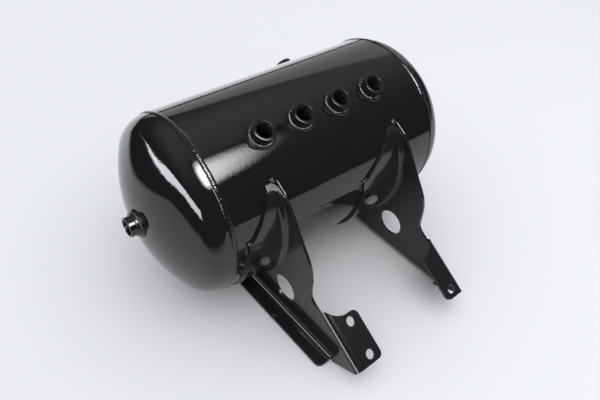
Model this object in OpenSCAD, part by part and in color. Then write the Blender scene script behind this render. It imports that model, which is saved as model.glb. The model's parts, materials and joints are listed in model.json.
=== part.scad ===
// Welded compressed-air reservoir on two bent-sheet brackets.
// Row frame: X along the tank, Z up, the lower bracket flanges lie on Z = 0.

/* [Tank] */
// Outside radius of the rolled shell
shell_radius = 123; // [100:1:160]
// Shell sheet thickness
shell_wall = 3; // [2:0.5:5]
// Half length of the shell, middle to circumferential weld
shell_half = 174; // [120:1:260]
// Outside radius of the pressed heads at the weld
head_radius = 122.6; // [100:0.1:160]
// Crown radius of the heads
crown_radius = 196; // [150:1:300]
// Knuckle radius of the heads
knuckle_radius = 37.7; // [20:0.1:60]
// Height of the tank axis above the floor
axis_height = 142; // [125:1:200]
// Shift that centres the bounding box in Y
side_shift = 75.12; // [60:0.1:90]

/* [Ports] */
// Radius of the plain bore that stands for the thread
port_bore = 10.25; // [6:0.05:14]
// Outside radius of the side ports
port_radius = 14.75; // [10:0.05:20]
// Height of the port face above the shell
port_height = 15; // [8:0.5:25]
// Distance between neighbouring side ports
port_pitch = 61; // [40:0.5:80]
// Angle of the side-port row above the bracket side
port_angle = 62; // [0:1:90]
// Angle of the drain port, measured the same way
drain_angle = 155; // [90:1:180]
// Position of the drain port along the tank
drain_x = 91.5; // [-100:1:100]
// Outside radius of the end-port neck
neck_radius = 13.2; // [11:0.1:18]
// Outside radius of the end-port collar
collar_radius = 16; // [13:0.1:22]
// Distance from the tank middle to the end-port face
end_face = 249.5; // [240:0.5:260]

/* [Brackets] */
// Sheet thickness of both brackets
sheet = 4; // [2:0.5:6]
// Near face of the front web along X
front_web = -103; // [-160:1:-60]
// Near face of the rear web along X
rear_web = 106; // [60:1:160]
// Inside radius of the large bends
bend_inside = 8; // [4:0.5:12]
// Inside radius of the foot bends
foot_bend = 5; // [3:0.5:10]
// Width of the lower flanges
lower_flange = 21; // [12:1:40]
// Slope of the foot plane
foot_angle = 31.5; // [0:0.5:60]
// Distance from the tank axis to the outer face of the feet
foot_level = 50; // [30:1:80]
// Radius of the bolt holes in the feet
bolt_radius = 6.5; // [4:0.1:9]
// Radius of the large hole in each web
web_hole = 20; // [10:0.5:30]
// Radius of the small hole in each saddle flange
saddle_hole = 4.5; // [2:0.1:8]

/* [View] */
// Piece to show

/* [Hidden] */
$fn = 48;
big = bend_inside + sheet;
small = foot_bend + sheet;
crown_back = sqrt(pow(crown_radius - knuckle_radius, 2) - pow(head_radius - knuckle_radius, 2));
head_start = shell_half - 1;
crown_x = head_start - crown_back;
knuckle_span = atan2(crown_back, head_radius - knuckle_radius);

// Moves a piece from the tank axis to its place above the floor
module seated() {
    translate([0, side_shift, axis_height]) children();
}

// Turns a piece that points along Z to a shell position: along X, angle above the -Y side
module on_shell(x, a) {
    translate([x, 0, 0]) rotate([90 - a, 0, 0]) children();
}

// Revolves a profile of radius and X around the tank axis
module around_x() {
    rotate([0, 90, 0]) rotate_extrude($fn = 72) children();
}

// Points of the head profile, radius and X, shrunk by t, from the weld to the axis
function head_points(t, steps) = concat(
    [for (i = [0 : steps]) let (a = i / steps * knuckle_span)
        [head_radius - knuckle_radius + (knuckle_radius - t) * cos(a),
            head_start + (knuckle_radius - t) * sin(a)]],
    [for (i = [1 : steps]) let (a = knuckle_span + i / steps * (90 - knuckle_span))
        [(crown_radius - t) * cos(a), crown_x + (crown_radius - t) * sin(a)]]);
function reversed(p) = [for (i = [len(p) - 1 : -1 : 0]) p[i]];

// Pressed head with an inner sleeve, axis along +Z before it is laid down
module head_solid() {
    difference() {
        rotate_extrude($fn = 60) union() {
            polygon(concat(head_points(0, 9), reversed(head_points(shell_wall, 7))));
            translate([116.9, head_start - 14]) square([3, 17]);
        }
        translate([0, 0, 200]) cylinder(r = neck_radius, h = 80, $fn = 32);
    }
}

// Ring bead over the joint between shell and head
module seam_bead() {
    around_x() difference() {
        translate([shell_radius - 3.4, 0]) circle(r = 5, $fn = 24);
        translate([0, -10]) square([shell_radius, 20]);
    }
}

// Turned side port with a chamfered mouth, foot inside the shell
module port_body() {
    top = shell_radius + port_height;
    low = shell_radius - shell_wall - 2;
    rotate_extrude($fn = 36) polygon([[port_bore, low], [port_radius, low],
        [port_radius, top - 1.2], [port_radius - 1.2, top], [port_bore + 2, top],
        [port_bore, top - 2]]);
}

// Fillet weld at the foot of a side port
module port_bead() {
    difference() {
        translate([0, 0, shell_radius - 0.3]) rotate_extrude($fn = 60)
            translate([port_radius + 0.3, 0]) circle(r = 3.6, $fn = 32);
        translate([0, 0, 80]) cylinder(r = port_radius, h = 80, $fn = 60);
        rotate([0, 90, 0]) cylinder(r = shell_radius, h = 80, center = true, $fn = 240);
    }
}

// Turned end port, neck outwards along +Z
module end_port() {
    low = head_start + crown_radius - crown_back - 8;
    rotate_extrude($fn = 36) polygon([[port_bore, low], [neck_radius, low],
        [neck_radius, end_face - 14.5], [collar_radius, end_face - 14.5],
        [collar_radius, end_face - 9.5], [collar_radius - 1, end_face - 8.5],
        [neck_radius, end_face - 8.5], [neck_radius, end_face - 1],
        [neck_radius - 1, end_face], [port_bore + 1.6, end_face],
        [port_bore, end_face - 1.6]]);
}

// Ring weld between the end port and the crown
module end_port_bead() {
    apex = head_start + crown_radius - crown_back;
    difference() {
        translate([0, 0, apex - 0.6]) rotate_extrude($fn = 60)
            translate([collar_radius + 0.4, 0]) circle(r = 3.2, $fn = 32);
        translate([0, 0, apex - 20]) cylinder(r = neck_radius, h = 40, $fn = 60);
        translate([0, 0, end_face - 14.5]) cylinder(r = collar_radius, h = 40, $fn = 60);
        rotate_extrude($fn = 60) polygon(concat(head_points(0, 9), [[0, 0]]));
    }
}

// Outline of a web in Y and Z from the tank axis, foot line included
function at_foot(u, v) = [-u * cos(foot_angle) - v * sin(foot_angle),
    -u * sin(foot_angle) + v * cos(foot_angle)];
outline = [[-98, 73.5], [-101.5, 71.5], [-119, 62], [-127, 54.8], [-133.5, 47], [-160, 9],
    [-169, -3], [-174.5, -12], [-178.5, -23], [-180.6, -36], [-181, -54], [-182, -61],
    [-186, -67], [-192, -71], at_foot(211, foot_level - small - 0.75),
    at_foot(298, foot_level - small - 0.75), [-236, 0.1 - axis_height], [-233, 0.1 - axis_height],
    [45, 0.1 - axis_height], [45, 0], [0, 73.5]];

// Web plate without its bends
module web_plate() {
    difference() {
        intersection() {
            polygon(outline);
            union() {
                translate([-300, big - axis_height]) square([345, 400]);
                translate([-300, -200]) square([67, 200]);
            }
        }
        circle(r = shell_radius, $fn = 72);
        intersection() {
            circle(r = shell_radius + big + 0.75, $fn = 72);
            polygon([[0, 0], [-300 * cos(60), -300 * sin(60)], [-300, -100], [-300, 300],
                [0, 300]]);
        }
        translate([-133, -93]) circle(r = web_hole);
    }
}

// Quarter ring between two sheet legs, centre at the origin, legs at +x and -y
module bend_section(inside) {
    intersection() {
        difference() {
            circle(r = inside + sheet);
            circle(r = inside);
        }
        translate([0, -50]) square([50, 50]);
    }
}

// Bent saddle flange around the shell, web face at x = 0, flange towards -X
module saddle(width) {
    rotate([0, 90, 0]) rotate([0, 0, -126]) rotate_extrude(angle = 94, $fn = 72)
        union() {
            translate([shell_radius, -width]) square([sheet, width - bend_inside]);
            translate([shell_radius + big, 0]) square([1.5, sheet]);
            translate([shell_radius + big, -bend_inside]) intersection() {
                difference() {
                    circle(r = big);
                    circle(r = bend_inside);
                }
                translate([-50, 0]) square([50, 50]);
            }
        }
}

// Lower flange with its bend, web face at x = 0, flange towards -X
module lower_strip() {
    intersection() {
        translate([0, 45, 0]) rotate([90, 0, 0]) linear_extrude(height = 278) union() {
            translate([-bend_inside, big - axis_height]) bend_section(bend_inside);
            translate([-lower_flange, -axis_height])
                square([lower_flange - bend_inside, sheet]);
        }
        translate([0, 0, -axis_height - 5]) linear_extrude(height = 40) union() {
            translate([-lower_flange, -225]) square([40, 270]);
            translate([8 - lower_flange, -233]) square([40, 270]);
            translate([8 - lower_flange, -225]) circle(r = 8, $fn = 32);
        }
    }
}

// Foot plate with its bend, web face at x = 0, foot towards +X, length along X
module foot_strip(length, last, free_round, holes, mid) {
    rotate([foot_angle, 0, 0]) difference() {
        intersection() {
            translate([0, -205, 0]) rotate([90, 0, 0]) linear_extrude(height = 100) union() {
                translate([small, foot_level - small]) rotate([0, 0, 180])
                    bend_section(foot_bend);
                translate([small, foot_level - sheet]) square([length - small, sheet]);
                translate([0, foot_level - small - 1.5]) square([sheet, 1.5]);
            }
            translate([0, 0, foot_level - 30]) linear_extrude(height = 40) union() {
                translate([-1, -last]) square([length - free_round + 1, last - 229]);
                translate([length - 15, free_round - last])
                    square([15, last - 229 - 2 * free_round]);
                translate([length - free_round, free_round - last])
                    circle(r = free_round, $fn = 32);
                translate([length - free_round, -229 - free_round])
                    circle(r = free_round, $fn = 32);
                polygon([[-1, -209], [-1, -231], [26, -231], [26, -229], [17, -226],
                    [10, -221], [4, -213]]);
            }
        }
        for (u = holes) translate([mid, -u, foot_level - 10])
            cylinder(r = bolt_radius, h = 20, $fn = 32);
    }
}

// Cuts the saddle flange to its curved free edge, seen along Y
module saddle_cut(edge, low_x) {
    rotate([90, 0, 0]) linear_extrude(height = 200)
        polygon(concat([[130, -140], [130, 90]], edge, [[low_x, 18], [low_x, -140]]));
}

// Prism of the web outline, keeps the bends inside the outline
module outline_prism() {
    translate([-200, 0, 0]) rotate([90, 0, 90]) linear_extrude(height = 400)
        polygon(outline);
}

module front_bracket_solid() {
    union() {
        translate([front_web, 0, 0]) rotate([90, 0, 90]) linear_extrude(height = sheet)
            web_plate();
        difference() {
            intersection() {
                translate([front_web, 0, 0]) saddle(60);
                saddle_cut([[-105.5, 90], [-113, 77.5], [-122, 62], [-128, 50], [-136, 36.5],
                    [-144, 26.5], [-149.5, 20]], -157);
                outline_prism();
            }
            on_shell(-144, -5) translate([0, 0, 100])
                cylinder(r = saddle_hole, h = 60, $fn = 24);
        }
        translate([front_web, 0, 0]) lower_strip();
        translate([front_web, 0, 0]) foot_strip(44, 298, 8, [240, 287], 28.5);
    }
}

module rear_bracket_solid() {
    union() {
        translate([rear_web, 0, 0]) rotate([90, 0, 90]) linear_extrude(height = sheet)
            web_plate();
        difference() {
            intersection() {
                translate([rear_web, 0, 0]) saddle(80);
                saddle_cut([[99, 90], [90.5, 73], [79.5, 57.5], [65.5, 42.5], [52.5, 31.5],
                    [41, 21]], 33);
                outline_prism();
            }
            on_shell(45, -5) translate([0, 0, 100])
                cylinder(r = saddle_hole, h = 60, $fn = 24);
        }
        translate([rear_web + sheet, 0, 0]) mirror([1, 0, 0]) lower_strip();
        translate([rear_web + sheet, 0, 0]) mirror([1, 0, 0])
            foot_strip(35, 296, 8, [284.5], 19.5);
    }
}

// Arc bead on the shell around the tank axis, from angle a0 to a1 above the -Y side
module arc_bead(x, a0, a1, size) {
    difference() {
        translate([x, 0, 0]) rotate([0, 90, 0]) rotate([0, 0, -90 - a1])
            rotate_extrude(angle = a1 - a0, $fn = 240)
                translate([shell_radius, 0]) circle(r = size, $fn = 32);
        rotate([0, 90, 0]) cylinder(r = shell_radius, h = 400, center = true, $fn = 240);
    }
}

// Straight bead on the shell along the tank
module line_bead(x0, x1, a, size) {
    difference() {
        on_shell(x0, a) translate([0, 0, shell_radius]) rotate([0, 90, 0])
            cylinder(r = size, h = x1 - x0, $fn = 32);
        rotate([0, 90, 0]) cylinder(r = shell_radius, h = 400, center = true, $fn = 360);
    }
}

module shell() {
    color([0.02, 0.02, 0.022]) seated() difference() {
        rotate([0, 90, 0])
            cylinder(r = shell_radius, h = 2 * head_start, center = true, $fn = 72);
        rotate([0, 90, 0])
            cylinder(r = shell_radius - shell_wall, h = 400, center = true, $fn = 72);
        for (i = [0 : 3]) on_shell((i - 1.5) * port_pitch, port_angle)
            translate([0, 0, 90]) cylinder(r = port_radius, h = 60, $fn = 36);
        on_shell(drain_x, drain_angle) translate([0, 0, 90])
            cylinder(r = port_radius, h = 60, $fn = 36);
    }
}

module head_left() {
    color([0.02, 0.02, 0.022]) seated() rotate([0, -90, 0]) head_solid();
}

module head_right() {
    color([0.02, 0.02, 0.022]) seated() rotate([0, 90, 0]) head_solid();
}

module seam_weld_left() {
    color([0.03, 0.03, 0.03]) seated() translate([-head_start - 1.5, 0, 0]) seam_bead();
}

module seam_weld_right() {
    color([0.03, 0.03, 0.03]) seated() translate([head_start + 1.5, 0, 0]) seam_bead();
}

module long_seam_weld() {
    color([0.03, 0.03, 0.03]) seated() line_bead(-168, 168, 204, 1.8);
}

module port(i) {
    color([0.025, 0.025, 0.025]) seated()
        on_shell((i - 2.5) * port_pitch, port_angle) port_body();
}

module port_weld(i) {
    color([0.03, 0.03, 0.03]) seated()
        on_shell((i - 2.5) * port_pitch, port_angle) port_bead();
}

module port_1() { port(1); }
module port_2() { port(2); }
module port_3() { port(3); }
module port_4() { port(4); }
module port_weld_1() { port_weld(1); }
module port_weld_2() { port_weld(2); }
module port_weld_3() { port_weld(3); }
module port_weld_4() { port_weld(4); }

module drain_port() {
    color([0.025, 0.025, 0.025]) seated() on_shell(drain_x, drain_angle) port_body();
}

module drain_port_weld() {
    color([0.03, 0.03, 0.03]) seated() on_shell(drain_x, drain_angle) port_bead();
}

module end_port_left() {
    color([0.025, 0.025, 0.025]) seated() rotate([0, -90, 0]) end_port();
}

module end_port_left_weld() {
    color([0.03, 0.03, 0.03]) seated() rotate([0, -90, 0]) end_port_bead();
}

module end_port_right() {
    color([0.025, 0.025, 0.025]) seated() rotate([0, 90, 0]) end_port();
}

module end_port_right_weld() {
    color([0.03, 0.03, 0.03]) seated() rotate([0, 90, 0]) end_port_bead();
}

module front_bracket() {
    color([0.03, 0.03, 0.032]) seated() front_bracket_solid();
}

module rear_bracket() {
    color([0.03, 0.03, 0.032]) seated() rear_bracket_solid();
}

module front_tip_weld() {
    color([0.05, 0.05, 0.05]) seated() arc_bead(front_web + sheet - 6, 36.2, 38, 3);
}

module rear_tip_weld() {
    color([0.05, 0.05, 0.05]) seated() arc_bead(rear_web + sheet - 6, 36.2, 38, 3);
}

module front_flange_weld() {
    color([0.05, 0.05, 0.05]) seated() arc_bead(-159.2, 2, 8, 2.2);
}

module rear_flange_weld() {
    color([0.05, 0.05, 0.05]) seated() arc_bead(30.8, 2, 8, 2.2);
}

module front_under_weld() {
    color([0.05, 0.05, 0.05]) seated() arc_bead(front_web + sheet + 2.2, -100, -76, 2.2);
}

module rear_under_weld() {
    color([0.05, 0.05, 0.05]) seated() arc_bead(rear_web - 2.2, -100, -76, 2.2);
}

shell();
head_left();
head_right();
seam_weld_left();
seam_weld_right();
long_seam_weld();
port_1();
port_2();
port_3();
port_4();
port_weld_1();
port_weld_2();
port_weld_3();
port_weld_4();
drain_port();
drain_port_weld();
end_port_left();
end_port_left_weld();
end_port_right();
end_port_right_weld();
front_bracket();
rear_bracket();
front_tip_weld();
rear_tip_weld();
front_flange_weld();
rear_flange_weld();
front_under_weld();
rear_under_weld();
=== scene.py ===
# Gloss-black welded air reservoir on two bent-sheet brackets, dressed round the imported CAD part.
import json
import math
import bmesh
import bpy
import numpy as np
from mathutils import Matrix, Vector


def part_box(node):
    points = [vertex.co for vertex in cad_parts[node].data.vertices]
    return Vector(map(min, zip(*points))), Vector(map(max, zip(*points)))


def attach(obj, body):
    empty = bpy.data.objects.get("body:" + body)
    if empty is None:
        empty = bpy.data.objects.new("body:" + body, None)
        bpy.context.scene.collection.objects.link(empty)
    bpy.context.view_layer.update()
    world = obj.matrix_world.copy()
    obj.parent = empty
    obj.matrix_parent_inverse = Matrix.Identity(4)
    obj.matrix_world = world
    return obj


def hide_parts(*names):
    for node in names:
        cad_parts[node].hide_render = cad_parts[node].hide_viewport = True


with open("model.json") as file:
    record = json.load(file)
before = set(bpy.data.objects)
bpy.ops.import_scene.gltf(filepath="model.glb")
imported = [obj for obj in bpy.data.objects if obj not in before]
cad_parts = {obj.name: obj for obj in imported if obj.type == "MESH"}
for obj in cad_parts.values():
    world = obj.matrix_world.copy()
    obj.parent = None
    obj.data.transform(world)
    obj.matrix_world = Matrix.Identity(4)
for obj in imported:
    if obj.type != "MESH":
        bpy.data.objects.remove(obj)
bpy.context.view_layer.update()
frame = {"nodes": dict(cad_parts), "record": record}
print("frame loaded with", len(frame["nodes"]), "nodes")

tau = 2 * math.pi
mm = 0.001
mounts = {m["name"]: m for m in frame["record"]["mounts"]}

# the tank's own axis and size, read back from the frame
shellLow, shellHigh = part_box("shell")
tankRadius = (shellHigh.z - shellLow.z) / 2
tankEnd = shellHigh.x
axisY = (shellHigh.y + shellLow.y) / 2
axisZ = (shellHigh.z + shellLow.z) / 2


# Points in an (along, across, 3) array become quads that join neighbours and wrap where closed.
# Doubled points at poles are merged, and the faces are turned outwards.
def surfaceMesh(name, points, closedAlong=True, closedAcross=True, sharp=40):
    rows, cols = points.shape[:2]
    i = np.arange(rows if closedAlong else rows - 1)
    j = np.arange(cols if closedAcross else cols - 1)
    a, b = np.meshgrid(i, j, indexing="ij")
    c, d = (a + 1) % rows, (b + 1) % cols
    quads = np.stack([a * cols + b, c * cols + b, c * cols + d, a * cols + d], -1).reshape(-1, 4)
    mesh = bpy.data.meshes.new(name)
    mesh.from_pydata(points.reshape(-1, 3).tolist(), [], quads.tolist())
    return finishedMesh(mesh, name, sharp)


def finishedMesh(mesh, name, sharp):
    work = bmesh.new()
    work.from_mesh(mesh)
    bmesh.ops.remove_doubles(work, verts=work.verts, dist=2e-6)
    bmesh.ops.recalc_face_normals(work, faces=work.faces)
    work.to_mesh(mesh)
    work.free()
    mesh.shade_smooth()
    mesh.set_sharp_from_angle(angle=math.radians(sharp))
    piece = bpy.data.objects.new(name, mesh)
    bpy.context.scene.collection.objects.link(piece)
    return piece


# Three directions for a turned part: its axis, a side and the direction square to both.
def axesFor(direction):
    n = np.array(direction, float)
    n /= np.linalg.norm(n)
    side = np.array([1.0, 0, 0]) if abs(n[0]) < 0.9 else np.array([0, 1.0, 0])
    side = side - n * (side @ n)
    side /= np.linalg.norm(side)
    return n, side, np.cross(n, side)


# A closed profile of (along, radius) in mm is carried round an axis:
# point = origin + along * axis + radius * (cos angle * side + sin angle * up).
# groove(angle, along, radius) may add to the radius.
def turned(name, profile, origin, direction, steps, closedProfile=True, groove=None, sharp=40):
    n, side, up = axesFor(direction)
    angle = np.arange(steps)[:, None] / steps * tau
    along = np.array(profile)[None, :, 0] + 0 * angle
    radius = np.array(profile)[None, :, 1] + 0 * angle
    if groove:
        radius = radius + groove(angle, along, radius)
    points = (np.array(origin) + (along * mm)[..., None] * n
              + (radius * np.cos(angle) * mm)[..., None] * side
              + (radius * np.sin(angle) * mm)[..., None] * up)
    return surfaceMesh(name, points, True, closedProfile, sharp)


# Straight runs between corners, each corner rounded by an arc of the given radius.
def roundedProfile(corners, radii, arcSteps=5, spacing=None):
    pts = np.array(corners, float)
    out = []
    for k in range(len(pts)):
        p, q, r = pts[k - 1], pts[k], pts[(k + 1) % len(pts)]
        a, b = p - q, r - q
        la, lb = np.linalg.norm(a), np.linalg.norm(b)
        a, b = a / la, b / lb
        half = math.acos(max(-1, min(1, float(a @ b)))) / 2
        cut = min(radii[k] / math.tan(half), 0.49 * la, 0.49 * lb) if radii[k] else 0
        if cut <= 0:
            out.append(q)
            continue
        bow = cut * math.tan(half)
        centre = q + (a + b) / np.linalg.norm(a + b) * (bow / math.sin(half))
        start, end = q + a * cut - centre, q + b * cut - centre
        s0 = math.atan2(start[1], start[0])
        turn = (math.atan2(end[1], end[0]) - s0 + math.pi) % tau - math.pi
        for t in np.linspace(0, 1, arcSteps):
            out.append(centre + bow * np.array([math.cos(s0 + turn * t), math.sin(s0 + turn * t)]))
    out = np.array(out)
    if spacing:      # long runs are divided so that a groove or a ripple has points to move
        full = []
        for k in range(len(out)):
            p, q = out[k], out[(k + 1) % len(out)]
            n = max(1, int(np.linalg.norm(q - p) / spacing(p, q)))
            full.append(p + (q - p) * np.arange(n)[:, None] / n)
        out = np.vstack(full)
    return out


# Crescent ripples of a hand-laid bead, from 0 to 1: a rounded saw that runs ahead at mid-width.
def beadRipple(run, across, pitch):
    phase = run / pitch + 0.42 * across ** 2
    saw = phase - np.floor(phase)
    return np.sin(math.pi * saw ** 0.7) ** 0.8


# A slow wander made of a few sines, the same at each run, between about -1 and 1.
def wander(t, seed):
    return (np.sin(3 * t + seed) + 0.6 * np.sin(7 * t + 2.1 * seed)
            + 0.4 * np.sin(17 * t + 3.7 * seed)) / 2


def place(piece, material, slotName, *nodes):
    piece.data.materials.clear()
    piece.data.materials.append(material)
    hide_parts(*nodes)
    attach(piece, "root")
    return piece


# What all paints share: refraction, how much the veil shows, and the size and rarity of specks.
finish = {"ior": 1.52, "veilShare": 0.05, "speckSize": 0.16, "bareShare": 0.93}


def newGroup(name, inputs, outputs):
    group = bpy.data.node_groups.new(name, "ShaderNodeTree")
    for label, kind, value in inputs:
        socket = group.interface.new_socket(name=label, in_out="INPUT", socket_type=kind)
        socket.default_value = value
    for label, kind in outputs:
        group.interface.new_socket(name=label, in_out="OUTPUT", socket_type=kind)
    src, dst = group.nodes.new("NodeGroupInput"), group.nodes.new("NodeGroupOutput")
    return group, group.nodes, group.links, src, dst


def mathNode(nodes, links, operation, first, second=None, clamp=False):
    node = nodes.new("ShaderNodeMath")
    node.operation = operation
    node.use_clamp = clamp
    for k, value in enumerate((first, second)):
        if value is None:
            continue
        if isinstance(value, (int, float)):
            node.inputs[k].default_value = value
        else:
            links.new(value, node.inputs[k])
    return node.outputs[0]


# Orange peel: two sizes of soft lumps from object coordinates, put out as a height.
def makePeelGroup():
    group, nodes, links, src, dst = newGroup(
        "orangePeel",
        [("Lump Scale", "NodeSocketFloat", 180.0), ("Wave Scale", "NodeSocketFloat", 28.0),
         ("Wave Share", "NodeSocketFloat", 0.5)],
        [("Height", "NodeSocketFloat")])
    coord = nodes.new("ShaderNodeTexCoord")
    lump, wave = nodes.new("ShaderNodeTexNoise"), nodes.new("ShaderNodeTexNoise")
    for noise, label, detail in ((lump, "Lump Scale", 1.5), (wave, "Wave Scale", 0.5)):
        links.new(coord.outputs["Object"], noise.inputs["Vector"])
        links.new(src.outputs[label], noise.inputs["Scale"])
        noise.inputs["Detail"].default_value = detail
        noise.inputs["Roughness"].default_value = 0.45
    waved = mathNode(nodes, links, "MULTIPLY", wave.outputs["Fac"], src.outputs["Wave Share"])
    links.new(mathNode(nodes, links, "ADD", lump.outputs["Fac"], waved), dst.inputs["Height"])
    return group


# Settled dust: fine specks and a thin veil, more of it where the surface looks up.
def makeDustGroup():
    group, nodes, links, src, dst = newGroup(
        "settledDust",
        [("Speck Scale", "NodeSocketFloat", 420.0), ("Veil Scale", "NodeSocketFloat", 9.0),
         ("Amount", "NodeSocketFloat", 0.5)],
        [("Specks", "NodeSocketFloat"), ("Veil", "NodeSocketFloat")])
    coord = nodes.new("ShaderNodeTexCoord")
    cells = nodes.new("ShaderNodeTexVoronoi")
    links.new(coord.outputs["Object"], cells.inputs["Vector"])
    links.new(src.outputs["Speck Scale"], cells.inputs["Scale"])
    near = mathNode(nodes, links, "LESS_THAN", cells.outputs["Distance"], finish["speckSize"])
    picked = nodes.new("ShaderNodeSeparateColor")
    links.new(cells.outputs["Color"], picked.inputs[0])
    few = mathNode(nodes, links, "GREATER_THAN", picked.outputs[0], finish["bareShare"])
    specks = mathNode(nodes, links, "MULTIPLY", near, few)
    veil = nodes.new("ShaderNodeTexNoise")
    links.new(coord.outputs["Object"], veil.inputs["Vector"])
    links.new(src.outputs["Veil Scale"], veil.inputs["Scale"])
    veil.inputs["Detail"].default_value = 5
    geometry = nodes.new("ShaderNodeNewGeometry")
    split = nodes.new("ShaderNodeSeparateXYZ")
    links.new(geometry.outputs["Normal"], split.inputs[0])
    upward = mathNode(nodes, links, "MULTIPLY", split.outputs[2], src.outputs["Amount"], clamp=True)
    links.new(mathNode(nodes, links, "MULTIPLY", specks, upward), dst.inputs["Specks"])
    links.new(mathNode(nodes, links, "MULTIPLY", veil.outputs["Fac"], upward), dst.inputs["Veil"])
    return group


peelGroup, dustGroup = makePeelGroup(), makeDustGroup()

paints = {
    "tankPaint": {"colour": (0.0090, 0.0092, 0.0100), "dust": (0.070, 0.072, 0.076), "roughness": 0.055,
                  "roughnessSpread": 0.03, "lumpScale": 260.0, "waveScale": 70.0, "waveShare": 0.35,
                  "bump": 0.12, "bumpDistance": 0.0004, "specks": 0.6},
    "bracketPaint": {"colour": (0.0120, 0.0121, 0.0130), "dust": (0.075, 0.076, 0.080), "roughness": 0.13,
                     "roughnessSpread": 0.07, "lumpScale": 260.0, "waveScale": 45.0, "waveShare": 0.5,
                     "bump": 0.10, "bumpDistance": 0.0004, "specks": 0.8},
    "weldPaint": {"colour": (0.0100, 0.0101, 0.0110), "dust": (0.080, 0.080, 0.082), "roughness": 0.09,
                  "roughnessSpread": 0.05, "lumpScale": 520.0, "waveScale": 160.0, "waveShare": 0.8,
                  "bump": 0.35, "bumpDistance": 0.0005, "specks": 0.4},
    "portPaint": {"colour": (0.0100, 0.0101, 0.0108), "dust": (0.080, 0.080, 0.082), "roughness": 0.08,
                  "roughnessSpread": 0.05, "lumpScale": 400.0, "waveScale": 90.0, "waveShare": 0.5,
                  "bump": 0.12, "bumpDistance": 0.0003, "specks": 0.4},
}


def makePaint(name):
    s = paints[name]
    material = bpy.data.materials.new(name)
    material.use_nodes = True
    nodes, links = material.node_tree.nodes, material.node_tree.links
    paint = nodes["Principled BSDF"]
    dust = nodes.new("ShaderNodeGroup")
    dust.node_tree = dustGroup
    dust.inputs["Amount"].default_value = s["specks"]
    colour = nodes.new("ShaderNodeMix")
    colour.data_type = "RGBA"
    colour.inputs["A"].default_value = (*s["colour"], 1)
    colour.inputs["B"].default_value = (*s["dust"], 1)
    haze = mathNode(nodes, links, "MULTIPLY", dust.outputs["Veil"], finish["veilShare"])
    dusty = mathNode(nodes, links, "ADD", haze, dust.outputs["Specks"], clamp=True)
    links.new(dusty, colour.inputs["Factor"])
    links.new(colour.outputs["Result"], paint.inputs["Base Color"])
    rough = mathNode(nodes, links, "MULTIPLY", dust.outputs["Veil"], s["roughnessSpread"])
    links.new(mathNode(nodes, links, "ADD", rough, s["roughness"]), paint.inputs["Roughness"])
    peel = nodes.new("ShaderNodeGroup")
    peel.node_tree = peelGroup
    peel.inputs["Lump Scale"].default_value = s["lumpScale"]
    peel.inputs["Wave Scale"].default_value = s["waveScale"]
    peel.inputs["Wave Share"].default_value = s["waveShare"]
    bump = nodes.new("ShaderNodeBump")
    bump.inputs["Strength"].default_value = s["bump"]
    bump.inputs["Distance"].default_value = s["bumpDistance"]
    links.new(peel.outputs["Height"], bump.inputs["Height"])
    links.new(bump.outputs["Normal"], paint.inputs["Normal"])
    paint.inputs["IOR"].default_value = finish["ior"]
    return material


tankPaint, bracketPaint, weldPaint, portPaint = [makePaint(n) for n in paints]
print("paints made")


cameraView = {"place": (-0.42306, -0.40094, 0.64693), "right": (0.76161, -0.64387, 0.07336),
              "down": (-0.39944, -0.55557, -0.72924), "forward": (0.51029, 0.52610, -0.68032),
              "lens": 33.568, "sensor": 36.0}
right, down, ahead = (Vector(cameraView[k]).normalized() for k in ("right", "down", "forward"))
cameraData = bpy.data.cameras.new("photoCamera")
cameraData.lens = cameraView["lens"]
cameraData.sensor_width = cameraView["sensor"]
cameraData.clip_start, cameraData.clip_end = 0.01, 100
camera = bpy.data.objects.new("photoCamera", cameraData)
bpy.context.scene.collection.objects.link(camera)
turn = Matrix((right, -down, -ahead)).transposed().to_4x4()
camera.matrix_world = Matrix.Translation(cameraView["place"]) @ turn
bpy.context.scene.camera = camera
bpy.context.scene.view_settings.view_transform = "Standard"

studio = {
    "keyHeight": 1.30, "keyCentre": (0.05, -0.72), "keySize": (1.50, 1.10),
    "keyGlow": 24.0, "keyPower": 4.0, "glowEdge": (1.0, 0.50), "glowPower": 3.0,
    "glowSide": (-0.2, 0.75), "glowSideLevel": (1.0, 0.35),
    "floorColour": (0.862, 0.864, 0.872), "backdropColour": (0.84, 0.845, 0.86), "evenGlow": 0.98,
    "paperFade": 0.16, "paperCentre": (0.2, -0.1), "dark": (0.012, 0.012, 0.013),
    "skyColour": (0.95, 0.97, 1.0), "farGlow": 0.55, "farFrom": 0.30, "farTo": 0.90,
    "paperHeight": -0.0002, "floorHeight": -0.0008, "floorReach": 30,
    # corners of the white paper, rounded by softOutline
    "paper": [(-0.24, -1.10), (-0.40, -0.42), (-0.56, -0.10), (-0.95, 0.02), (-1.45, 0.36),
              (-0.80, 0.52), (-0.50, 0.62), (-0.50, 1.60), (-0.60, 4.50), (7.50, 7.50), (4.50, -0.60),
              (1.02, -0.88), (0.84, -1.21), (0.73, -1.36), (0.50, -2.20), (-0.05, -2.60)],
}


# Corners of an outline are cut at a quarter and three quarters of each side, three times over.
def softOutline(points, times=3):
    p = np.array(points, float)
    for _ in range(times):
        q = np.roll(p, -1, axis=0)
        p = np.stack([0.75 * p + 0.25 * q, 0.25 * p + 0.75 * q], 1).reshape(-1, 2)
    return p.tolist()


# A lamp that lights the floor and the pieces; the paint's mirror shows the softbox face instead.
def areaLight(name, place, target, size, power):
    data = bpy.data.lights.new(name, "AREA")
    data.shape = "RECTANGLE"
    data.size, data.size_y = size
    data.energy = power
    light = bpy.data.objects.new(name, data)
    bpy.context.scene.collection.objects.link(light)
    light.location = place
    light.rotation_euler = (Vector(target) - Vector(place)).to_track_quat("-Z", "Y").to_euler()
    light.visible_camera = False
    light.visible_glossy = False


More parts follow.
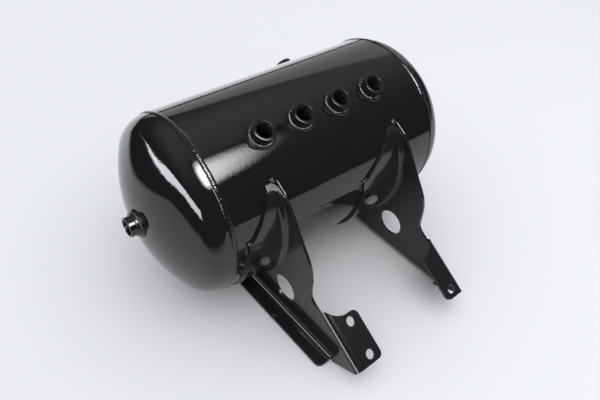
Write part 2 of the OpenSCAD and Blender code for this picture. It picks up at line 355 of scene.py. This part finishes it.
# Diffuse to the camera. In the paint's mirror the floor beyond the paper is dark, the paper's rim
# fades into it by the mesh attribute "lit", and the paper's far part is brighter by farGlow.
def plainMaterial(name, colour, roomDark, farGlow=0.0):
    material = bpy.data.materials.new(name)
    material.use_nodes = True
    nodes, links = material.node_tree.nodes, material.node_tree.links
    nodes.clear()
    out = nodes.new("ShaderNodeOutputMaterial")
    diffuse = nodes.new("ShaderNodeBsdfDiffuse")
    diffuse.inputs["Color"].default_value = (*colour, 1)
    path, lit = nodes.new("ShaderNodeLightPath"), nodes.new("ShaderNodeAttribute")
    lit.attribute_name = "lit"
    dark, glow = nodes.new("ShaderNodeEmission"), nodes.new("ShaderNodeEmission")
    dark.inputs["Color"].default_value = (*roomDark, 1)
    coord, split = nodes.new("ShaderNodeTexCoord"), nodes.new("ShaderNodeSeparateXYZ")
    links.new(coord.outputs["Object"], split.inputs[0])
    far = nodes.new("ShaderNodeMapRange")
    far.interpolation_type = "SMOOTHSTEP"
    far.inputs["From Min"].default_value = studio["farFrom"]
    far.inputs["From Max"].default_value = studio["farTo"]
    far.inputs["To Max"].default_value = farGlow
    links.new(split.outputs[1], far.inputs["Value"])
    links.new(mathNode(nodes, links, "MULTIPLY", far.outputs[0], path.outputs["Is Glossy Ray"]),
              glow.inputs["Strength"])
    both, mix = nodes.new("ShaderNodeAddShader"), nodes.new("ShaderNodeMixShader")
    links.new(diffuse.outputs[0], both.inputs[0])
    links.new(glow.outputs[0], both.inputs[1])
    unlit = mathNode(nodes, links, "SUBTRACT", 1.0, lit.outputs["Fac"], clamp=True)
    links.new(mathNode(nodes, links, "MULTIPLY", unlit, path.outputs["Is Glossy Ray"]), mix.inputs[0])
    links.new(both.outputs[0], mix.inputs[1])
    links.new(dark.outputs[0], mix.inputs[2])
    links.new(mix.outputs[0], out.inputs[0])
    return material


def flatStage(name, outline, height, material):
    mesh = bpy.data.meshes.new(name)
    mesh.from_pydata([(x, y, height) for x, y in outline], [], [list(range(len(outline)))])
    piece = bpy.data.objects.new(name, mesh)
    bpy.context.scene.collection.objects.link(piece)
    mesh.materials.append(material)
    return piece


# The paper's outline is repeated nearer to the middle, by paperFade metres or 45 percent at most,
# and "lit" goes from 0 on the outer outline to 1 on the inner one.
def makePaper():
    rim = np.array(softOutline(studio["paper"]))
    reach = np.linalg.norm(rim - studio["paperCentre"], axis=1, keepdims=True)
    inner = rim + (studio["paperCentre"] - rim) * np.minimum(0.45, studio["paperFade"] / reach)
    n = len(rim)
    mesh = bpy.data.meshes.new("paperFloor")
    faces = [[k, (k + 1) % n, n + (k + 1) % n, n + k] for k in range(n)] + [list(range(n, 2 * n))]
    mesh.from_pydata([(x, y, studio["paperHeight"]) for x, y in np.vstack([rim, inner])], [], faces)
    lit = mesh.attributes.new("lit", "FLOAT", "POINT")
    lit.data.foreach_set("value", [0.0] * n + [1.0] * n)
    piece = bpy.data.objects.new("paperFloor", mesh)
    bpy.context.scene.collection.objects.link(piece)
    mesh.materials.append(plainMaterial("paperWhite", studio["floorColour"], studio["dark"],
                                        studio["farGlow"]))


fourCorners = ((-1, -1), (1, -1), (1, 1), (-1, 1))
makePaper()
flatStage("floorAround", [(i * studio["floorReach"], j * studio["floorReach"]) for i, j in fourCorners],
          studio["floorHeight"], plainMaterial("floorWhite", studio["floorColour"], studio["dark"]))

keyX, keyY = studio["keyCentre"]
keyPlace = (keyX, axisY + keyY, axisZ + studio["keyHeight"])
areaLight("keySoftbox", keyPlace, (keyPlace[0], keyPlace[1], 0), studio["keySize"], studio["keyPower"])

# The bright face of the softbox as the paint sees it: full in the middle and fading to rounded edges
# by the distance (|x|^3 + |y|^3)^(1/3) from its centre, in half widths.
def makeGlow():
    glow = bpy.data.materials.new("softboxGlow")
    glow.use_nodes = True
    nodes, links = glow.node_tree.nodes, glow.node_tree.links
    nodes.clear()
    out, emit = nodes.new("ShaderNodeOutputMaterial"), nodes.new("ShaderNodeEmission")
    coord, split = nodes.new("ShaderNodeTexCoord"), nodes.new("ShaderNodeSeparateXYZ")
    links.new(coord.outputs["Object"], split.inputs[0])
    parts = []
    for k in (0, 1):
        off = mathNode(nodes, links, "SUBTRACT", split.outputs[k], keyPlace[k])
        part = mathNode(nodes, links, "DIVIDE", off, studio["keySize"][k] / 2)
        parts.append(mathNode(nodes, links, "POWER", mathNode(nodes, links, "ABSOLUTE", part),
                              studio["glowPower"]))
    away = mathNode(nodes, links, "POWER", mathNode(nodes, links, "ADD", *parts),
                    1 / studio["glowPower"])
    fade = nodes.new("ShaderNodeMapRange")
    fade.interpolation_type = "SMOOTHSTEP"
    fade.inputs["From Min"].default_value, fade.inputs["From Max"].default_value = studio["glowEdge"]
    fade.inputs["To Max"].default_value = studio["keyGlow"]
    links.new(away, fade.inputs["Value"])
    # the lamp sits in its left half, so the right half is weaker
    side = nodes.new("ShaderNodeMapRange")
    side.inputs["From Min"].default_value, side.inputs["From Max"].default_value = studio["glowSide"]
    side.inputs["To Min"].default_value, side.inputs["To Max"].default_value = studio["glowSideLevel"]
    links.new(split.outputs[0], side.inputs["Value"])
    links.new(mathNode(nodes, links, "MULTIPLY", fade.outputs[0], side.outputs[0]),
              emit.inputs["Strength"])
    links.new(emit.outputs[0], out.inputs[0])
    return glow


halfX, halfY = studio["keySize"][0] / 2, studio["keySize"][1] / 2
softbox = flatStage("softboxFace", [(keyPlace[0] + i * halfX, keyPlace[1] + j * halfY)
                                    for i, j in fourCorners], keyPlace[2] + 0.01, makeGlow())
softbox.visible_camera = softbox.visible_diffuse = softbox.visible_shadow = False


# Ranges are (from, to) over which a direction's part rises from 0 to 1. The lean keeps the wall right of
# x = 1.1 z. The strip lies between z = -(rise + step) and z = bow * facing^4 + base.
room = {
    "wallLean": 1.10, "wallLeanRange": (0.0, 0.05), "wallY": (0.10, 0.30), "wallZ": (0.02, 0.035),
    "wallDim": 0.55, "wall": 0.85, "ceilingZ": (0.25, 0.9), "ceilingY": (-0.8, 0.6), "ceiling": 0.45,
    "stripFacing": (-0.99, -0.14), "stripPower": 4.0, "stripBow": 0.235, "stripBase": 0.007,
    "stripStepY": (-0.05, 0.25), "stripStep": -0.052, "stripRise": 0.055, "stripEdge": (0.0, 0.015),
    "stripEndY": (-0.50, -0.46), "stripEndX": (-0.28, -0.50), "strip": 13.0, "rest": 0.03,
}


# A direction decides the brightness: a pale wall behind, a dim ceiling, a thin bright strip on the left
# at eye level and a dark room elsewhere. The camera itself sees only the pale backdrop.
def makeWorld():
    world = bpy.data.worlds.new("studioRoom")
    bpy.context.scene.world = world
    world.use_nodes = True
    nodes, links = world.node_tree.nodes, world.node_tree.links
    nodes.clear()
    out = nodes.new("ShaderNodeOutputWorld")
    coord = nodes.new("ShaderNodeTexCoord")
    split = nodes.new("ShaderNodeSeparateXYZ")
    links.new(coord.outputs["Generated"], split.inputs[0])
    x, y, z = split.outputs

    def ramp(value, span):
        node = nodes.new("ShaderNodeMapRange")
        node.interpolation_type = "SMOOTHSTEP"
        links.new(value, node.inputs["Value"])
        node.inputs["From Min"].default_value, node.inputs["From Max"].default_value = span
        return node.outputs[0]

    def times(*values):
        result = values[0]
        for v in values[1:]:
            result = mathNode(nodes, links, "MULTIPLY", result, v)
        return result

    def plus(*values):
        result = values[0]
        for v in values[1:]:
            result = mathNode(nodes, links, "ADD", result, v)
        return result

    lean = mathNode(nodes, links, "SUBTRACT", x, times(z, room["wallLean"]))
    lower = mathNode(nodes, links, "SUBTRACT", 1.0, times(z, room["wallDim"]))
    wall = times(ramp(lean, room["wallLeanRange"]), ramp(y, room["wallY"]), ramp(z, room["wallZ"]),
                 lower, room["wall"])
    ceiling = times(ramp(z, room["ceilingZ"]), ramp(y, room["ceilingY"]), room["ceiling"])
    # the strip faces azimuth 82 degrees left of the front and is taller near its middle
    facing = plus(times(x, room["stripFacing"][0]), times(y, room["stripFacing"][1]))
    bow = mathNode(nodes, links, "POWER", mathNode(nodes, links, "MAXIMUM", facing, 0.0),
                   room["stripPower"])
    top = mathNode(nodes, links, "SUBTRACT", plus(times(bow, room["stripBow"]), room["stripBase"]), z)
    low = plus(z, plus(times(ramp(y, room["stripStepY"]), room["stripStep"]), room["stripRise"]))
    strip = times(ramp(top, room["stripEdge"]), ramp(low, room["stripEdge"]),
                  ramp(y, room["stripEndY"]), ramp(x, room["stripEndX"]), room["strip"])
    brightness = plus(wall, ceiling, strip, room["rest"])
    path = nodes.new("ShaderNodeLightPath")
    seen = nodes.new("ShaderNodeBackground")
    seen.inputs["Color"].default_value = (*studio["backdropColour"], 1)
    felt = nodes.new("ShaderNodeBackground")
    felt.inputs["Color"].default_value = (*studio["skyColour"], 1)
    links.new(brightness, felt.inputs["Strength"])
    even = nodes.new("ShaderNodeBackground")
    even.inputs["Color"].default_value = (*studio["skyColour"], 1)
    even.inputs["Strength"].default_value = studio["evenGlow"]
    first, second = nodes.new("ShaderNodeMixShader"), nodes.new("ShaderNodeMixShader")
    links.new(path.outputs["Is Glossy Ray"], first.inputs[0])
    links.new(even.outputs[0], first.inputs[1])
    links.new(felt.outputs[0], first.inputs[2])
    links.new(path.outputs["Is Camera Ray"], second.inputs[0])
    links.new(first.outputs[0], second.inputs[1])
    links.new(seen.outputs[0], second.inputs[2])
    links.new(second.outputs[0], out.inputs[0])


makeWorld()
print("studio made")


tank = {"wall": 3.0, "headRadius": 122.6, "crownRadius": 196.0, "knuckleRadius": 37.7,
        "sleeveOut": 119.9, "sleeveIn": 116.9, "sleeveDepth": 14.0, "endHole": 13.2,
        "portHole": 14.6, "holeFrom": 95, "holeTo": 135, "steps": 288, "rows": 70,
        "sharp": 40}


# Rolled shell: a ring section carried round the tank axis.
def makeShell():
    half, outer = tankEnd / mm, tankRadius / mm
    inner = outer - tank["wall"]
    xs = np.linspace(-half, half, tank["rows"])
    profile = np.vstack([np.stack([xs, outer + 0 * xs], 1), np.stack([xs[::-1], inner + 0 * xs], 1)])
    shell = turned("shellSheet", profile, (0, axisY, axisZ), (1, 0, 0), tank["steps"])
    # the port holes are cut through, so each port opens into the tank
    cutters = []
    for name in ("side_port_1", "side_port_2", "side_port_3", "side_port_4", "drain_port"):
        m = mounts[name]
        centre = np.array([m["pos_m"][0], axisY, axisZ])
        near, far, hole = tank["holeFrom"], tank["holeTo"], tank["portHole"]
        cutter = turned("cutter_" + name, [(near, 0), (near, hole), (far, hole), (far, 0)],
                        centre, m["axis"], 64, False)
        cut = shell.modifiers.new("hole", "BOOLEAN")
        cut.operation, cut.object, cut.solver = "DIFFERENCE", cutter, "EXACT"
        cutters.append(cutter)
    bpy.context.view_layer.update()
    solid = bpy.data.meshes.new_from_object(shell.evaluated_get(bpy.context.evaluated_depsgraph_get()))
    shell.modifiers.clear()
    shell.data = solid
    solid.name = "shellSheet"
    solid.shade_smooth()
    solid.set_sharp_from_angle(angle=math.radians(tank["sharp"]))
    for cutter in cutters:
        bpy.data.objects.remove(cutter)
    return place(shell, tankPaint, "tank_paint", "shell")


# Outline of a pressed head from the end-port hole to the weld: a crown arc, then a knuckle arc,
# inset by t.
def headArc(t, count):
    r, c, k, x0 = tank["headRadius"], tank["crownRadius"], tank["knuckleRadius"], tankEnd / mm
    back = math.sqrt((c - k) ** 2 - (r - k) ** 2)
    span = math.atan2(back, r - k)
    hole = math.acos(tank["endHole"] / (c - t))
    crown = np.linspace(hole, span, count)
    knuckle = np.linspace(span, 0, count)[1:]
    return np.vstack([
        np.stack([x0 - back + (c - t) * np.sin(crown), (c - t) * np.cos(crown)], 1),
        np.stack([x0 + (k - t) * np.sin(knuckle), r - k + (k - t) * np.cos(knuckle)], 1)])


def makeHead(name, sign, node):
    outside, inside = headArc(0, 56), headArc(tank["wall"], 30)[::-1]
    x0 = tankEnd / mm
    wide, narrow, back = tank["sleeveOut"], tank["sleeveIn"], x0 - tank["sleeveDepth"]
    sleeve = np.array([[x0, wide], [back, wide], [back, narrow], [x0, narrow]])
    profile = np.vstack([outside, sleeve, inside])
    head = turned(name, profile, (0, axisY, axisZ), (sign, 0, 0), tank["steps"])
    return place(head, tankPaint, "tank_paint", node)


makeShell()
makeHead("headLeft", -1, "head_left")
makeHead("headRight", 1, "head_right")
print("shell and heads made")


seam = {"halfWidth": 3.9, "height": 1.7, "pitch": 3.0, "rippleDepth": 0.16, "steps": 1560, "across": 13}


# Ring bead over a circumferential joint. With crown = (1 - s^2)^0.7, the radius starts 1.15 mm
# inside the head's and rises by 0.9 * crown^0.3 + crown * (height - crescent ripples).
# Where the bead starts and stops it is wider and higher.
def makeSeam(name, sign, node, overlap):
    x0 = sign * (tankEnd / mm + 1.0)
    angle = np.arange(seam["steps"])[:, None] / seam["steps"] * tau
    s = np.linspace(-1, 1, seam["across"])[None, :]
    run = angle * tankRadius / mm
    away = np.abs((angle - overlap + math.pi) % tau - math.pi)
    lump = np.exp(-(away / 0.075) ** 4)
    width = seam["halfWidth"] * (1 + 0.05 * wander(angle * 5, 1.3) + 0.35 * lump)
    height = seam["height"] * (1 + 0.10 * wander(angle * 7, 0.4) + 0.45 * lump)
    crown = np.clip(1 - s ** 2, 0, 1) ** 0.7
    lift = crown * (height - seam["rippleDepth"] * (1 - beadRipple(run, s, seam["pitch"])))
    radius = tank["headRadius"] - 0.35 + 0.9 * crown ** 0.3 + lift - 0.8
    radius = np.where(np.abs(s) > 0.999, tankRadius / mm - 1.2, radius)
    xs = x0 + s * width + 0.25 * wander(angle * 9, 2.2)
    under = np.array([[0.6, -2.0], [-0.6, -2.0]])
    low = np.broadcast_to((tankRadius / mm + under[:, 1])[None, :], (seam["steps"], 2))
    radius = np.hstack([radius, low])
    xs = np.hstack([xs, x0 + width * under[None, :, 0]])
    points = np.stack([xs * mm, axisY - radius * mm * np.cos(angle),
                       axisZ + radius * mm * np.sin(angle)], -1)
    ring = surfaceMesh(name, points, True, True, 60)
    return place(ring, weldPaint, "weld_paint", node)


makeSeam("seamWeldLeft", -1, "seam_weld_left", math.radians(79))
makeSeam("seamWeldRight", 1, "seam_weld_right", math.radians(96))

line = {"across": 11, "stepsPerMm": 2.2}


# Bead along a path: at each station the section is close to a half ellipse, height * (1 - s^2)^0.55 along
# the surface normal, closed underneath, with crescent ripples, and it shrinks to a rounded end.
def beadAlong(name, path, normals, halfWidth, height, pitch, depth, sink=0.8):
    path, normals = np.array(path, float), np.array(normals, float)
    run = np.concatenate([[0], np.cumsum(np.linalg.norm(np.diff(path, axis=0), axis=1))])
    count = max(24, int(run[-1] * line["stepsPerMm"]))
    t = np.linspace(0, run[-1], count)
    centre = np.stack([np.interp(t, run, path[:, k]) for k in range(3)], 1)
    normal = np.stack([np.interp(t, run, normals[:, k]) for k in range(3)], 1)
    normal /= np.linalg.norm(normal, axis=1, keepdims=True)
    along = np.gradient(centre, axis=0)
    along /= np.linalg.norm(along, axis=1, keepdims=True)
    side = np.cross(along, normal)
    side /= np.linalg.norm(side, axis=1, keepdims=True)
    edge = np.minimum(t, run[-1] - t) / halfWidth
    size = np.sqrt(np.clip(1 - (1 - np.clip(edge, 0, 1)) ** 2, 0.0, 1))[:, None]
    s = np.linspace(-1, 1, line["across"])[None, :]
    crown = np.clip(1 - s ** 2, 0, 1) ** 0.55
    wide = halfWidth * (1 + 0.08 * wander(t * 0.4, 1.9))[:, None]
    lift = crown * (height - depth * (1 - beadRipple(t[:, None], s, pitch))) * size
    offset = s * wide * size
    offset = np.hstack([offset, 0.5 * wide * size, -0.5 * wide * size])
    sunk = np.hstack([1 - crown + 0 * size, 1 + 0 * size, 1 + 0 * size])
    lift = np.hstack([lift, 0 * size, 0 * size]) - sink * size * sunk
    points = (centre[:, None, :] + offset[..., None] * side[:, None, :]
              + lift[..., None] * normal[:, None, :])
    points[0], points[-1] = points[0].mean(0), points[-1].mean(0)
    return surfaceMesh(name, points * mm + np.array([0, axisY, axisZ]), False, True, 70)


# A point on the shell at x, angle above the -Y side, and its normal.
def onShell(x, degrees, radius=None):
    a = np.radians(np.asarray(degrees, float))
    x = np.asarray(x, float) + 0 * a
    normal = np.stack([0 * a, -np.cos(a), np.sin(a)], -1)
    return np.stack([x, 0 * a, 0 * a], -1) + normal * (radius or tankRadius / mm), normal


def straightBead(name, node, x0, x1, degrees, *shape):
    xs = np.linspace(x0, x1, 60)
    path, normals = onShell(xs, np.full(60, float(degrees)))
    return place(beadAlong(name, path, normals, *shape), weldPaint, "weld_paint", node)


def arcBead(name, node, x, low, high, *shape):
    angles = np.linspace(low, high, 60)
    path, normals = onShell(np.full(60, float(x)), angles)
    return place(beadAlong(name, path, normals, *shape), weldPaint, "weld_paint", node)


straightBead("longSeamWeld", "long_seam_weld", -169, 169, 204, 2.6, 1.1, 3.2, 0.25)


# Fillet bead at the foot of a port: the section runs from the port wall down to the sheet
# with a bulge, and follows the height of the sheet at each angle round the port.
# On the shell that height is sqrt(R^2 - (rho sin angle)^2); on a head's crown it is sqrt(C^2 - rho^2)
# plus a constant.
portBead = {"reach": 4.1, "rise": 3.9, "pitch": 3.1, "rippleDepth": 0.42, "steps": 240, "across": 11}


def filletBead(name, node, origin, direction, wallRadius, sheetHeight, seed, scale=1.0):
    n, side, up = axesFor(direction)
    angle = np.arange(portBead["steps"])[:, None] / portBead["steps"] * tau
    t = np.linspace(0, 1, portBead["across"])[None, :]
    reach = scale * portBead["reach"] * (1 + 0.10 * wander(angle, seed))
    rise = scale * portBead["rise"] * (1 + 0.08 * wander(angle * 2, seed + 1))
    ripple = 1 - beadRipple((wallRadius + 2) * angle, 2 * t - 1, portBead["pitch"])
    depth = portBead["rippleDepth"] / portBead["rise"]
    bulge = 1 + 0.16 * np.sin(math.pi * t) - depth * ripple * np.sin(math.pi * t) ** 0.7
    rho = wallRadius - 0.2 + reach * np.sin(t * math.pi / 2) * bulge
    lift = rise * np.cos(t * math.pi / 2) * bulge - 0.35 * t
    rho = np.hstack([rho, wallRadius - 0.6 + 0 * angle])
    lift = np.hstack([lift, -0.8 + 0 * angle])
    height = sheetHeight(rho, angle) + lift
    points = (np.array(origin) + (height * mm)[..., None] * n
              + (rho * np.cos(angle) * mm)[..., None] * side
              + (rho * np.sin(angle) * mm)[..., None] * up)
    return place(surfaceMesh(name, points, True, True, 70), weldPaint, "weld_paint", node)


def heightOnShell(rho, angle):
    return np.sqrt((tankRadius / mm) ** 2 - (rho * np.sin(angle)) ** 2)


def heightOnHead(rho, angle):
    c, k, r = tank["crownRadius"], tank["knuckleRadius"], tank["headRadius"]
    return tankEnd / mm - math.sqrt((c - k) ** 2 - (r - k) ** 2) + np.sqrt(c ** 2 - rho ** 2)


port = {"outer": 14.75, "crest": 10.15, "pitch": 1.5, "depth": 0.75, "rise": 15.0,
        "below": 5.0, "chamfer": 1.0, "sharp": 35, "steps": 96,
        "fineStep": 0.17, "coarseStep": 4.0, "tolerance": 0.02,
        "threadLow": 0.3, "threadHigh": 1.05, "seed": 0.7, "seedStep": 1.7,
        "rounding": [0, 0.4, 0.8, 0.3, 0]}


# Internal thread: between its ends the wall moves out by a rounded triangle wave that advances
# one pitch for each turn. It fades over 1.2 mm at the inner end and 0.8 mm at the outer one.
def threadGroove(low, high):
    def groove(angle, along, radius):
        phase = (along - port["pitch"] * angle / tau) / port["pitch"]
        wave = 0.5 + np.arcsin(0.97 * np.sin(tau * phase)) / math.pi
        fade = np.clip((along - low) / 1.2, 0, 1) * np.clip((high - along) / 0.8, 0, 1)
        inBore = np.abs(radius - port["crest"]) < port["tolerance"]
        return np.where(inBore, port["depth"] * wave * fade, 0)
    return groove


# Spacing of profile points between p and q: fine along the bore, where the thread needs it.
def fineInBore(p, q):
    inBore = all(abs(point[1] - port["crest"]) < port["tolerance"] for point in (p, q))
    return port["fineStep"] if inBore else port["coarseStep"]


def makeSidePort(index, mountName, node, weldNode):
    m = mounts[mountName]
    origin = np.array([m["pos_m"][0], axisY, axisZ])
    top, low = tankRadius / mm + port["rise"], tankRadius / mm - port["below"]
    corners = [(low, port["crest"]), (low, port["outer"]), (top, port["outer"]),
               (top, port["crest"] + port["chamfer"]), (top - port["chamfer"], port["crest"])]
    profile = roundedProfile(corners, port["rounding"], 5, fineInBore)
    body = turned("portBody%d" % index if index else "drainPortBody", profile, origin, m["axis"],
                  port["steps"], True,
                  threadGroove(low + port["threadLow"], top - port["threadHigh"]), port["sharp"])
    place(body, portPaint, "port_paint", node)
    filletBead("portWeld%d" % index if index else "drainPortWeld", weldNode, origin, m["axis"],
               port["outer"], heightOnShell, port["seed"] + port["seedStep"] * index)


for index in (1, 2, 3, 4):
    makeSidePort(index, "side_port_%d" % index, "port_%d" % index, "port_weld_%d" % index)
makeSidePort(0, "drain_port", "drain_port", "drain_port_weld")

endPort = {"neck": 13.2, "collar": 16.0, "face": 249.5, "below": 8, "collarFrom": 14.5,
           "collarTo": 8.5, "weldIn": 0.4, "weldScale": 0.9, "seed": 3.1,
           "rounding": [0, 0.3, 0, 0.5, 0.9, 0.3, 0.9, 0.4, 0]}


def makeEndPort(name, side, sign):
    m = mounts["end_port_" + side]
    origin = np.array([0, axisY, axisZ])
    face, low = endPort["face"], heightOnHead(0, 0) - endPort["below"]
    neck, collar, bore, chamfer = endPort["neck"], endPort["collar"], port["crest"], port["chamfer"]
    start, end = face - endPort["collarFrom"], face - endPort["collarTo"]
    corners = [(low, bore), (low, neck), (start, neck), (start, collar), (end, collar), (end, neck),
               (face, neck), (face, bore + chamfer), (face - chamfer, bore)]
    profile = roundedProfile(corners, endPort["rounding"], 5, fineInBore)
    body = turned(name, profile, origin, m["axis"], port["steps"], True,
                  threadGroove(low + port["threadLow"], face - port["threadHigh"]), port["sharp"])
    place(body, portPaint, "port_paint", "end_port_" + side)
    filletBead(name + "Weld", "end_port_%s_weld" % side, origin, m["axis"],
               collar - endPort["weldIn"], heightOnHead, endPort["seed"] + sign, endPort["weldScale"])


makeEndPort("endPortLeft", "left", -1)
makeEndPort("endPortRight", "right", 1)
print("ports and their welds made")


bracket = {"edgeRound": 0.0009, "edgeSegments": 3, "flatAngle": 1.2,
           "edgeAngle": 42, "sharp": 38}


# The CAD sheet is copied and merged, its flat triangles are joined, and the sheared edges get
# the small radius that paint and the press give them.
def makeBracket(name, node):
    source = frame["nodes"][node].data
    count = len(source.vertices)
    co = np.empty(count * 3, np.float32)
    source.vertices.foreach_get("co", co)
    faces = np.empty(len(source.polygons) * 3, np.int32)
    source.polygons.foreach_get("vertices", faces)
    mesh = bpy.data.meshes.new(name)
    mesh.from_pydata(co.reshape(-1, 3).tolist(), [], faces.reshape(-1, 3).tolist())
    work = bmesh.new()
    work.from_mesh(mesh)
    bmesh.ops.remove_doubles(work, verts=work.verts, dist=5e-6)
    bmesh.ops.dissolve_limit(work, angle_limit=math.radians(bracket["flatAngle"]), verts=work.verts,
                             edges=work.edges, use_dissolve_boundaries=False)
    work.to_mesh(mesh)
    work.free()
    piece = bpy.data.objects.new(name, mesh)
    bpy.context.scene.collection.objects.link(piece)
    bevel = piece.modifiers.new("edgeRound", "BEVEL")
    bevel.width, bevel.segments = bracket["edgeRound"], bracket["edgeSegments"]
    bevel.limit_method, bevel.angle_limit = "ANGLE", math.radians(bracket["edgeAngle"])
    bevel.use_clamp_overlap = True
    bevel.harden_normals = False
    mesh.shade_smooth()
    bpy.context.view_layer.update()
    done = bpy.data.meshes.new_from_object(piece.evaluated_get(bpy.context.evaluated_depsgraph_get()))
    piece.modifiers.clear()
    piece.data = done
    done.name = name
    done.shade_smooth()
    done.set_sharp_from_angle(angle=math.radians(bracket["sharp"]))
    weighted = piece.modifiers.new("flatFaces", "WEIGHTED_NORMAL")
    weighted.keep_sharp = True
    return place(piece, bracketPaint, "bracket_paint", node)


makeBracket("frontBracket", "front_bracket")
makeBracket("rearBracket", "rear_bracket")

# Beads of the brackets in mm: half width, height, ripple pitch and ripple depth, arcs in degrees.
sheet = 4.0
beads = {
    "edge": (2.3, 2.0, 2.0, 0.45), "edgeIn": 0.4, "edgeNormal": [0.45, -0.426, 0.785],
    "tip": (2.9, 2.8, 2.2, 0.5), "tipIn": 6, "tipArc": (35.0, 39.2),
    "flange": (2.1, 1.9, 2.4, 0.4), "flangeArc": (1.5, 8.5),
    "under": (2.4, 2.1, 2.8, 0.4), "underGap": 1.6, "underArc": (-100, -76),
}
# Where each bracket's web starts and where the bead left of its saddle flange lies, in X.
bracketPlaces = {"front": {"web": -103.0, "flange": -159.2}, "rear": {"web": 106.0, "flange": 30.8}}
# Where the web's outer edge leaves the shell, in Y and Z from the tank axis.
tipEdge = np.array([(-98.0, 73.0), (-101.5, 71.5), (-110.0, 66.9), (-119.0, 62.0)])

# On each bracket: a bead down the sheared edge of the web, a stub on the shell above the tip, one left
# of the saddle flange and one under the tank.
for label, where in bracketPlaces.items():
    web = where["web"]
    path = np.hstack([np.full((len(tipEdge), 1), web + sheet - beads["edgeIn"]), tipEdge])
    normals = np.tile(beads["edgeNormal"], (len(tipEdge), 1))
    edge = beadAlong(label + "EdgeWeld", path, normals, *beads["edge"])
    edge.data.materials.append(weldPaint)
    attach(edge, "root")
    arcBead(label + "TipWeld", label + "_tip_weld", web + sheet - beads["tipIn"],
            *beads["tipArc"], *beads["tip"])
    arcBead(label + "FlangeWeld", label + "_flange_weld", where["flange"],
            *beads["flangeArc"], *beads["flange"])
    under = web + sheet + beads["underGap"] if label == "front" else web - beads["underGap"]
    arcBead(label + "UnderWeld", label + "_under_weld", under, *beads["underArc"], *beads["under"])
print("brackets and their welds made")
